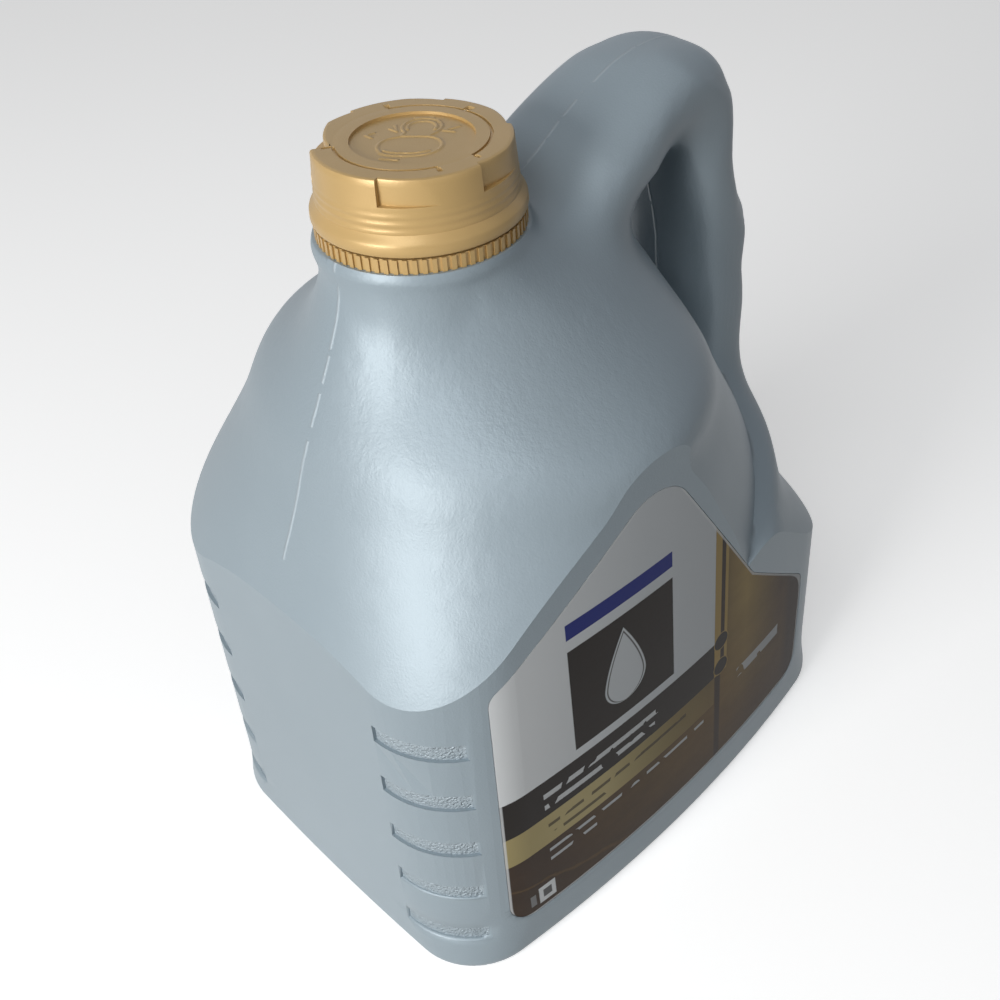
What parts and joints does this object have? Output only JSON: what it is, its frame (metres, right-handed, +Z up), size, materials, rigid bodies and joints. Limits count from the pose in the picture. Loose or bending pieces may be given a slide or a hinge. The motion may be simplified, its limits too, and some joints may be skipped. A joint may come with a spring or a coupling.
{
  "type": "motor oil bottle",
  "caption": "Blow-moulded engine oil bottle with a built-in hollow handle, gripping ribs, a bell shoulder, a front label and a screw cap over a tamper ring.",
  "frame": {"origin": "middle of the foot print, on the surface that the bottle stands on", "axes": "+Z up, +X towards the handle, -Y out of the front face with the label"},
  "size_m": [0.19, 0.1446, 0.2447],
  "materials": {
    "bottle": "satin pearl silver-blue polyethylene, lightly stippled",
    "label": "printed film in silver grey, black, gold and brown fields",
    "closure": "satin gold pigmented plastic",
    "seal": "white foamed sealing disc"
  },
  "bodies": {
    "bottle": {"bottle": "bottle", "front_label": "label", "tamper_ring": "closure"},
    "seal": {"cap_liner": "seal"},
    "cap": {"cap": "closure"}
  },
  "joints": [
    {"name": "cap_lift", "type": "slide", "parent": "bottle", "child": "seal", "axis": [0, 0, 1], "range_m": [0, 0.012]},
    {"name": "cap_turn", "type": "hinge", "parent": "seal", "child": "cap", "pos_m": [-0.0287, 0, 0.23], "axis": [0, 0, 1], "range_deg": [0, 720]}
  ],
  "couplings": [
    {"joint": "cap_lift", "follows": "cap_turn", "m_per_rad": 0.00095493}
  ]
}
